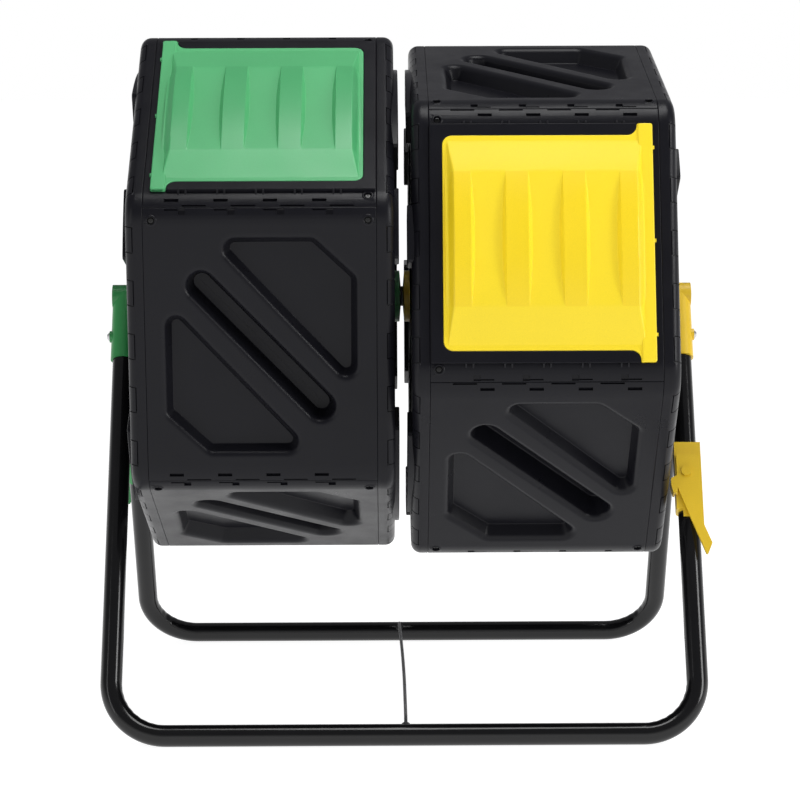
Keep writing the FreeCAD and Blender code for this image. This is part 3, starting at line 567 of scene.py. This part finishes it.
# ---------------------------------------------------------------- door panel
FRAME_RISE, FRAME_V, BAY_V, BAY_U = 4.5 * MM, 137 * MM, 123.5 * MM, 115 * MM
FLANGE_U, FLANGE_END, FLANGE_V, FILLET = 104 * MM, 121.5 * MM, 136.5 * MM, 11 * MM
HATCH_U, HATCH_V = 92 * MM, 104 * MM
PLAY = 0.3 * MM


def wedge(u, v, out):
    """A small triangular web at the foot of the raised door frame."""
    skin = Skin(lambda x, y, h: Vector((u + h, v + out * x, y)))
    outline = [(-1 * MM, -1 * MM), (5 * MM, -1 * MM), (0.6 * MM, 3.9 * MM), (-1 * MM, 3.9 * MM)]
    skin.slab(outline, -1 * MM, 1 * MM, 0.3 * MM)
    if out < 0:
        skin.faces = [face[::-1] for face in skin.faces]
    return skin


def door_panel_skins():
    sheet_skin = Skin(folded)
    hatch = Feature(rounded(rectangle(-HATCH_U, HATCH_U, -HATCH_V, HATCH_V), FILLET), [(0, 0)], closed=False)
    features = [hatch] + [screw_seat(SCREW_U, v) for v in (-SCREW_V, SCREW_V)] + snap_details()
    sheet_skin.relief(Feature(sheet_outline(), raised_edge(SEAM_EDGE, 0), features), 0, fold_lines())
    rail, end = -FLANGE_U + PLAY, SEAM_U - SEAM_EDGE
    outline = [(rail, -FRAME_V), (end, -FRAME_V), (end, FRAME_V), (rail, FRAME_V),
               (rail, BAY_V), (BAY_U, BAY_V), (BAY_U, -BAY_V), (rail, -BAY_V)]
    radii = [2 * MM, 1 * MM, 1 * MM, 2 * MM, FILLET, FILLET, FILLET, FILLET]
    frame_skin = Skin()
    frame_skin.slab(rounded(outline, radii), -1 * MM, FRAME_RISE, 0.8 * MM)
    webs = [wedge((i - 2) * 43 * MM + side * 4 * MM, sign * FRAME_V, sign)
            for i in range(5) for side in (-1, 1) for sign in (-1, 1)]
    return sheet_skin, [frame_skin] + webs


# ---------------------------------------------------------------- doors
PLATE_TOP, FLANGE_TOP, FIELD_RISE = 4.5 * MM, 6 * MM, 9 * MM
FIELD_U, FIELD_SIDE = 110 * MM, 7 * MM
FIELD_FOOT = (-118 * MM, 119 * MM)
FIELD_FLAT = (-79 * MM, 74 * MM)
RIB_WIDTH, RIB_PITCH, RIB_RISE, RIB_FLARE = 25 * MM, 64 * MM, 7 * MM, 0.62
RIB_MIDDLES = [(i - 1.5) * RIB_PITCH for i in range(4)]


def smooth_step(t):
    t = max(0.0, min(1.0, t))
    return t * t * (3 - 2 * t)


def blunt(t, softness=0.12):
    """A straight ramp from 0 to 1 with short rounded ends."""
    if t <= 0 or t >= 1:
        return max(0.0, min(1.0, t))
    return t + softness * (smooth_step(t) - t)


def field_height(u, v):
    """Height of the door's raised field above its plate."""
    low, high = FIELD_FOOT
    flat_low, flat_high = FIELD_FLAT
    middle, half = (flat_low + flat_high) / 2, (flat_high - flat_low) / 2
    along = min(blunt((v - low) / (flat_low - low)), blunt((high - v) / (high - flat_high)))
    bow = max(0.0, 1 - ((v - middle) / (half * 1.6)) ** 2)
    level = FIELD_RISE * along + 1.5 * MM * bow
    side = (FIELD_U - abs(u)) / (FIELD_SIDE * max(level / FIELD_RISE, 0.05))
    height = level * blunt(side, 0.5)
    swell = RIB_RISE * max(0.0, 1 - ((v - middle) / half) ** 2)
    for centre in RIB_MIDDLES:
        beyond = max(0.0, abs(u - centre) - RIB_WIDTH / 2)
        height = max(height, min(level + swell - beyond / RIB_FLARE, level * blunt(side, 0.5) + swell))
    return height


def grid_lines():
    """Columns close together where the field's and the ribs' walls stand, rows evenly apart."""
    columns = {-FIELD_U - 2 * MM, FIELD_U + 2 * MM}
    for sign in (-1, 1):
        columns |= {sign * (FIELD_U - k * 0.8 * MM) for k in range(12)}
    for centre in RIB_MIDDLES:
        for sign in (-1, 1):
            edge = centre + sign * RIB_WIDTH / 2
            columns |= {edge + sign * k * 0.7 * MM for k in range(-2, 8)}
        columns |= {centre, centre - 6 * MM, centre + 6 * MM}
    for i in range(3):
        columns.add((i - 1) * RIB_PITCH)
    low, high = FIELD_FOOT
    count = 96
    rows = [low - MM + (high - low + 2 * MM) * k / count for k in range(count + 1)]
    kept = []
    for u in sorted(columns):
        if abs(u) <= FIELD_U + 2 * MM and (not kept or u - kept[-1] > 0.25 * MM):
            kept.append(u)
    return kept, rows


def field_skin():
    """The raised field as a closed body: its relief on top, a flat underneath."""
    columns, rows = grid_lines()
    skin = Skin()
    count = len(columns)
    sink = 0.4 * MM
    for v in rows:
        skin.points += [Vector((u, v, PLATE_TOP - sink + field_height(u, v))) for u in columns]
    for r in range(len(rows) - 1):
        for c in range(count - 1):
            a = r * count + c
            skin.faces.append((a, a + 1, a + 1 + count, a + count))
    last = len(rows) - 1
    border = [c for c in range(count)] + [r * count + count - 1 for r in range(1, last + 1)]
    border += [last * count + c for c in range(count - 2, -1, -1)]
    border += [r * count for r in range(last - 1, 0, -1)]
    under = [skin.points[i].copy() for i in border]
    base = len(skin.points)
    for point in under:
        point.z = 1.5 * MM
    skin.points += under
    total = len(border)
    for i in range(total):
        j = (i + 1) % total
        skin.faces.append((base + i, base + j, border[j], border[i]))
    skin.faces.append(tuple(range(base + total - 1, base - 1, -1)))
    return skin


def rib_tops_painted_shade(door, matrix, material):
    """The ribs' tops get a deeper shade than the field between them: painted shade for how light falls on
    the bowed ribs.
    """
    door.data.materials.append(material)
    back = matrix.inverted()
    for face in door.data.polygons:
        point = back @ face.center
        beside = min(abs(point.x - centre) for centre in RIB_MIDDLES)
        if beside < RIB_WIDTH / 2 and FIELD_FLAT[0] < point.y < FIELD_FLAT[1] and point.z > 2 * PLATE_TOP:
            face.material_index = 1


def door_skins():
    inner, half = BAY_U - PLAY, BAY_V - PLAY
    outline = [(-FLANGE_END, -FLANGE_V), (-FLANGE_U, -FLANGE_V), (-FLANGE_U, -half), (inner, -half),
               (inner, half), (-FLANGE_U, half), (-FLANGE_U, FLANGE_V), (-FLANGE_END, FLANGE_V)]
    corner = FILLET - PLAY
    radii = [2.5 * MM, 2 * MM, FILLET, corner, corner, FILLET, 2 * MM, 2.5 * MM]
    plate = Skin()
    plate.slab(rounded(outline, radii), PLAY, PLATE_TOP, 1.0 * MM)
    flange = Skin()
    strip = rectangle(-FLANGE_END, -FLANGE_U - 1 * MM, -FLANGE_V, FLANGE_V)
    flange.slab(rounded(strip, 2.5 * MM), PLAY, FLANGE_TOP, 1.4 * MM)
    nubs = []
    for v in (-109 * MM, -2 * MM, 105 * MM):
        nub = Skin()
        outline = rectangle(-FLANGE_END - 2 * MM, -FLANGE_END + 3 * MM, v - 2 * MM, v + 2 * MM)
        nub.slab(rounded(outline, 0.6 * MM, 3), PLAY, 3 * MM, 0.5 * MM)
        nubs.append(nub)
    return [plate, flange, field_skin()] + nubs


# ---------------------------------------------------------------- end caps
CAP_RIM, CAP_EDGE_R = 20 * MM, 12 * MM
RIM_FLAT = CAP_RIM - CAP_EDGE_R
RIM_LENGTH = RIM_FLAT + CAP_EDGE_R * pi / 2
RING_IN, RING_OUT, RING_RISE = 228 * MM, 273 * MM, 5 * MM
RING_TURNS, RING_CORNER, RING_EDGE = (0, 120, 240), 3 * MM, 1.2 * MM
RING_PADS = {
    ("left", "outer"): [(14.0, 17.8), (64.2, 27.6)],
    ("left", "inner"): [(14.0, 17.8), (43.8, 48.0)],
    ("right", "outer"): [(137.0, 9.0)],
    ("right", "inner"): [(90.0, 35.0), (152.7, 14.3)],
}
TAB_MIDDLES, TAB_HALF = (121 * MM, 61 * MM, 0, -61 * MM, -123 * MM), 15 * MM
TAB_LOW, TAB_HIGH, TAB_LINE, TAB_DEPTH = 11 * MM, 23 * MM, 1.3 * MM, 1.2 * MM
BORE_R, SECTOR_IN, SECTOR_OUT, SECTOR_EDGE, SECTOR_CORNER = 16 * MM, 70 * MM, 196 * MM, 9.2 * MM, 14 * MM
VENT_R, VENT_PITCH, VENT_AT, VENTED_SIDES = 3 * MM, 12 * MM, 135 * MM, (1, 4)
CAP_COLUMNS = [sign * (FLAT_V + (EDGE_S - FLAT_V) * k / FOLD_STEPS)
               for sign in (-1, 1) for k in range(FOLD_STEPS)]


def rim_place(side):
    """Maps (s round the drum, t out from the seam, h) to the rim of an end cap."""
    a = radians(SIDE_ANGLE * side + CORNER_ANGLE)

    def place(s, t, h):
        if t < SEAM_EDGE:
            bend = pi / 2 * (t / SEAM_EDGE) - pi / 2
            inset, z = SEAM_EDGE * (1 - cos(bend)), SEAM_EDGE * (1 + sin(bend))
        elif t < RIM_FLAT:
            bend, inset, z = 0.0, 0.0, t
        else:
            bend = (t - RIM_FLAT) / CAP_EDGE_R
            inset, z = CAP_EDGE_R * (1 - cos(bend)), RIM_FLAT + CAP_EDGE_R * sin(bend)
        _, v, n = folded(0, s, h * cos(bend) - inset)
        x = (APOTHEM + n) * cos(a) - v * sin(a)
        y = (APOTHEM + n) * sin(a) + v * cos(a)
        return Vector((x, y, z + h * sin(bend)))

    return place


def rim_skin(side):
    """One sixth of a cap's rim, with the outlines of five snap tabs pressed into it."""
    levels = [SEAM_EDGE * k / 3 for k in (1, 2, 3)]
    levels += [RIM_FLAT + CAP_EDGE_R * pi / 2 * k / 8 for k in range(8)]
    skin = Skin(rim_place(side))
    columns = CAP_COLUMNS[1:FOLD_STEPS] + CAP_COLUMNS[FOLD_STEPS + 1:] + [-FLAT_V, FLAT_V]
    lines = [((-EDGE_S, t), (EDGE_S, t)) for t in levels] + [((s, 0), (s, RIM_LENGTH)) for s in columns]
    border = split_at(rectangle(-EDGE_S, EDGE_S, 0, RIM_LENGTH), levels)
    border = [(y, x) for x, y in split_at([(y, x) for x, y in border], sorted(columns))]
    tabs = []
    low, high, line = TAB_LOW, TAB_HIGH, TAB_LINE
    for v in TAB_MIDDLES:
        left, right = v - TAB_HALF, v + TAB_HALF
        shape = [(left, low), (right, low), (right, high), (right - line, high),
                 (right - line, low + line), (left + line, low + line), (left + line, high), (left, high)]
        tabs.append(Feature(split_at(shape, levels), [(0, 0), (0, -TAB_DEPTH)]))
    skin.relief(Feature(border, [(0, 0)], tabs), 0, lines)
    return skin


def sector_outline(side):
    """A four-sided pocket between two corners of the end wall."""
    near, far = (reach * tan(HALF_CORNER) - SECTOR_EDGE for reach in (SECTOR_IN, SECTOR_OUT))
    outline = [(SECTOR_IN, -near), (SECTOR_OUT, -far), (SECTOR_OUT, far), (SECTOR_IN, near)]
    return turned(rounded(outline, SECTOR_CORNER), radians(SIDE_ANGLE * side + CORNER_ANGLE))


def cap_face(vented):
    """The flat end wall: six pockets, air holes and the hub's bore."""
    features = [Feature(circle(0, 0, BORE_R, 48), [(0, 0)], closed=False)]
    for side in range(SIDES):
        holes = []
        if vented and side in VENTED_SIDES:
            for row in (-1, 0, 1):
                for column in (-2, -1, 0, 1, 2):
                    place = (VENT_AT + VENT_PITCH * row, VENT_PITCH * column)
                    x, y = turned([place], radians(SIDE_ANGLE * side + CORNER_ANGLE))[0]
                    hole = Feature(circle(x, y, VENT_R, 16), [(0.5 * MM, 0), (0, -0.4 * MM)], closed=False)
                    holes.append(hole)
        features.append(Feature(sector_outline(side), sunk(6 * MM, 7 * MM, 4 * MM, 3 * MM, 4), holes))
    stations = sorted(CAP_COLUMNS + [EDGE_S])
    outline = []
    for side in range(SIDES):
        place = rim_place(side)
        outline += [tuple(place(s, RIM_LENGTH, 0))[:2] for s in stations[1:]]
    skin = Skin()
    skin.relief(Feature(outline, [(0, 0)], features), CAP_RIM)
    return skin


def ring_skins(side, end):
    """The raised curved pads near the rim of an end wall, three times round."""
    skins = []
    for turn in RING_TURNS:
        for start, sweep in RING_PADS[side, end]:
            pad = Skin()
            begin = start + turn - DOOR_ANGLE[side] - CORNER_ANGLE
            outline = arc_band(RING_IN, RING_OUT, begin, sweep, RING_CORNER)
            pad.slab(outline, CAP_RIM - WALL, CAP_RIM + RING_RISE, RING_EDGE)
            skins.append(pad)
    return skins


def make_drum(side):
    """All moulded skins of one drum and its door."""
    body, door_angle = side + "_drum", DOOR_ANGLE[side]
    heads = [screw_head(side, door_angle, SCREW_U, v) for v in (-SCREW_V, SCREW_V)]
    heads += [screw_head(side, door_angle + SIDE_ANGLE * i, u, SCREW_V)
              for i in PANELS for u in (-SCREW_U, SCREW_U)]
    # black screw heads: black oxide, and also painted shade for the deep holes they sit in
    screws = piece(side + "_screw_heads", heads, Matrix.Identity(4), body, MATERIALS["black_screw"])
    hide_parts(side + "_panel_screws")
    for i in PANELS:
        node = "%s_panel_%d" % (side, i)
        shell = piece(node + "_skin", [PLAIN], on_side(side, door_angle + SIDE_ANGLE * i), body,
                      BLACK_PLASTIC, thickness=WALL)
        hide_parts(node)
    sheet, trim = door_panel_skins()
    shell = piece(side + "_door_panel_skin", [sheet], on_side(side, door_angle), body, BLACK_PLASTIC,
                  thickness=WALL)
    piece(side + "_door_frame", trim, on_side(side, door_angle), body, BLACK_PLASTIC)
    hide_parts(side + "_door_panel")
    slot = COLOUR_NAME[side] + "_door"
    door = piece(side + "_door_skin", door_skins(), on_side(side, door_angle), side + "_door",
                 MATERIALS[slot])
    # painted shade on the rib tops
    rib_tops_painted_shade(door, on_side(side, door_angle), MATERIALS[COLOUR_NAME[side] + "_rib"])
    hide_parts(side + "_door")
    for end in ("outer", "inner"):
        matrix = on_end(side, end, door_angle + CORNER_ANGLE)
        skins = [rim_skin(k) for k in range(SIDES)] + [cap_face(end == "outer")]
        node = "%s_%s_cap" % (side, end)
        cap = piece(node + "_skin", skins, matrix, body, BLACK_PLASTIC,
                    flip=end == "inner", thickness=WALL)
        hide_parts(node)
        pads = piece("%s_%s_pads" % (side, end), ring_skins(side, end), matrix, body, BLACK_PLASTIC,
                     flip=end == "inner")
        if end == "outer":
            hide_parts(side + "_lock_pads")


# ---------------------------------------------------------------- stand
LEG_LENGTH = hypot(FOOT_Y, AXLE_Z - TUBE_R)
LEG_DOWN = Vector((0, -FOOT_Y, TUBE_R - AXLE_Z)) / LEG_LENGTH
LEG_OUT = Vector((0, LEG_DOWN.z, -LEG_DOWN.y))


def frame_route():
    """Centre line of the front frame in its own plane, with how much each point is bent."""
    bend = LEG_LENGTH - BEND_R
    inset = LEG_X - BEND_R
    route = [(LEG_X, LEG_TOP, 0, 0), (LEG_X, bend - 40 * MM, 0, 0)]
    steps = 28
    for k in range(steps + 1):
        a = pi / 2 * k / steps
        route.append((inset + BEND_R * cos(a), bend + BEND_R * sin(a), a, sin(pi * k / steps) ** 0.5))
    route.append((0, LEG_LENGTH, pi / 2, 0))
    for x, along, a, bent in reversed(route[:-1]):
        route.append((-x, along, pi - a, bent))
    return route


def tube_skin():
    """The bent tube; inside its bends the wall is slightly rippled, as a tube bender leaves it."""
    skin = Skin()
    sides = 40
    rings = []
    for index, (x, along, a, bent) in enumerate(frame_route()):
        centre = Vector((x, 0, AXLE_Z)) + LEG_DOWN * along
        outward = Vector((cos(a), 0, 0)) + LEG_DOWN * sin(a)
        ring = []
        for k in range(sides):
            t = 2 * pi * k / sides
            inside = max(0.0, -cos(t)) ** 3 * bent
            ripple = 1 - inside * (0.02 + 0.022 * cos(index * pi * 0.57))
            ring.append(centre + (outward * cos(t) + LEG_OUT * sin(t)) * TUBE_R * ripple)
        rings.append(list(range(len(skin.points), len(skin.points) + sides)))
        skin.points += ring
    for first, second in zip(rings, rings[1:]):
        skin.strip(first, second)
    skin.faces.append(tuple(rings[0][::-1]))
    skin.faces.append(tuple(rings[-1]))
    return skin


def cord_points():
    """The spreading cord's route, from the rear grommet to the front one."""
    tilt, rise, run = radians(40), 14.5 * MM, 10.5 * MM
    x_rear, x_front, middle_z = -3 * MM, 1.2 * MM, 25.5 * MM
    ends = []
    for sign, x in ((1, x_rear), (-1, x_front)):
        seat, out = Vector((x, sign * FOOT_Y, TUBE_R)), Vector((0, -sign * cos(tilt), sin(tilt)))
        ends.append((seat + out * rise, seat + out * (rise + run)))
    middle = Vector((x_front, 0, middle_z))
    near = [corner + (middle - corner).normalized() * run for _, corner in ends]
    return [ends[0][0], ends[0][1], near[0], middle, near[1], ends[1][1], ends[1][0]]


def make_cord():
    data = bpy.data.curves.new("spread_cord_braid", "CURVE")
    data.dimensions = "3D"
    data.bevel_depth, data.bevel_resolution, data.resolution_u = 2 * MM, 5, 24
    data.use_fill_caps = True
    spline = data.splines.new("NURBS")
    points = cord_points()
    spline.points.add(len(points) - 1)
    for knot, place in zip(spline.points, points):
        knot.co = (*place, 1)
    spline.order_u, spline.use_endpoint_u = 3, True
    cord = bpy.data.objects.new("spread_cord_braid", data)
    bpy.context.scene.collection.objects.link(cord)
    data.materials.append(MATERIALS["black_cord"])
    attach(cord, "frame")
    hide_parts("spread_cord")


def make_stand():
    for name, matrix in (("front", Matrix.Identity(4)), ("rear", HALF_TURN)):
        tube = piece(name + "_leg_tube", [tube_skin()], matrix, "frame", MATERIALS["black_tube"],
                     sharp=60)
        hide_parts(name + "_leg_frame")
    make_cord()


def dress_cad_nodes():
    """Give every CAD node that still shows its material and soft edges."""
    slots = {part["node"]: part["material_slot"] for part in frame["record"]["subparts"]}
    for name, obj in frame["nodes"].items():
        obj.data.materials.clear()
        obj.data.materials.append(MATERIALS[slots[name]])
        bevel = obj.modifiers.new("edges", "BEVEL")
        bevel.width, bevel.segments, bevel.limit_method = 0.7 * MM, 3, "ANGLE"
        bevel.angle_limit = radians(35)
        bevel.harden_normals = True


# ---------------------------------------------------------------- studio
def area_light(name, place, aim, size, power, colour=(1, 1, 1)):
    data = bpy.data.lights.new(name, "AREA")
    data.shape, data.size, data.size_y = "RECTANGLE", size[0], size[1]
    data.energy, data.color = power, colour
    lamp = bpy.data.objects.new(name, data)
    lamp.location = place
    lamp.rotation_euler = (Vector(aim) - Vector(place)).to_track_quat("-Z", "Y").to_euler()
    bpy.context.scene.collection.objects.link(lamp)


def make_studio():
    """White floor and horizon under a dimmer sky, with one large lamp above and two at the sides."""
    world = bpy.data.worlds.new("studio")
    bpy.context.scene.world = world
    world.use_nodes = True
    tree = world.node_tree
    place = tree.nodes.new("ShaderNodeTexCoord")
    split = tree.nodes.new("ShaderNodeSeparateXYZ")
    ramp = tree.nodes.new("ShaderNodeValToRGB")
    low, high = ramp.color_ramp.elements
    low.position, high.position = 0.08, 0.35
    low.color, high.color = (1, 1, 1, 1), (0.22, 0.22, 0.23, 1)
    tree.links.new(place.outputs["Generated"], split.inputs["Vector"])
    tree.links.new(split.outputs["Z"], ramp.inputs["Fac"])
    tree.links.new(ramp.outputs["Color"], tree.nodes["Background"].inputs["Color"])
    centre = (0, 0, 0.45)
    area_light("top_soft", (0.3, -0.4, 2.6), centre, (1.4, 1.0), 26)
    area_light("left_soft", (-2.4, -1.9, 1.3), centre, (0.4, 1.8), 5)
    area_light("right_soft", (2.6, -1.3, 1.4), centre, (0.7, 1.6), 28)
    floor = bpy.data.meshes.new("floor")
    half = 40.0
    corners = [(x, y, 0) for x, y in rectangle(-half, half, -half, half)]
    floor.from_pydata(corners, [], [(0, 1, 2, 3)])
    ground = bpy.data.objects.new("floor", floor)
    bpy.context.scene.collection.objects.link(ground)
    finish = Finish("floor_paper", 0.9)
    finish.colour((0.4, 0.4, 0.4), 0.005, 3.0)
    finish.shader.inputs["Specular IOR Level"].default_value = 0.1
    finish.shader.inputs["Emission Color"].default_value = (1, 1, 1, 1)
    finish.shader.inputs["Emission Strength"].default_value = 0.93
    floor.materials.append(finish.material)


def make_camera():
    """The camera stands in front, a little left of the middle, and looks slightly down."""
    focal, pixels, sensor = 2738.7, 800, 36.0
    pitch, yaw, roll = 0.12697, 0.0059154, -0.0035735
    data = bpy.data.cameras.new("camera")
    data.sensor_width, data.lens = sensor, focal / pixels * sensor
    data.clip_end = 200
    camera = bpy.data.objects.new("camera", data)
    forward = Vector((sin(yaw) * cos(pitch), cos(yaw) * cos(pitch), -sin(pitch)))
    right = Vector((cos(yaw), -sin(yaw), 0))
    up = right.cross(forward)
    right, up = right * cos(roll) + up * sin(roll), up * cos(roll) - right * sin(roll)
    turn = Matrix((right, up, -forward)).transposed().to_4x4()
    camera.matrix_world = Matrix.Translation((-0.02215, -3.3173, 0.78361)) @ turn
    bpy.context.scene.collection.objects.link(camera)
    bpy.context.scene.camera = camera


make_camera()
make_studio()
dress_cad_nodes()
make_stand()
PLAIN = plain_skin()
for drum_side in ("left", "right"):
    make_drum(drum_side)
bpy.context.scene.view_settings.view_transform = "Standard"
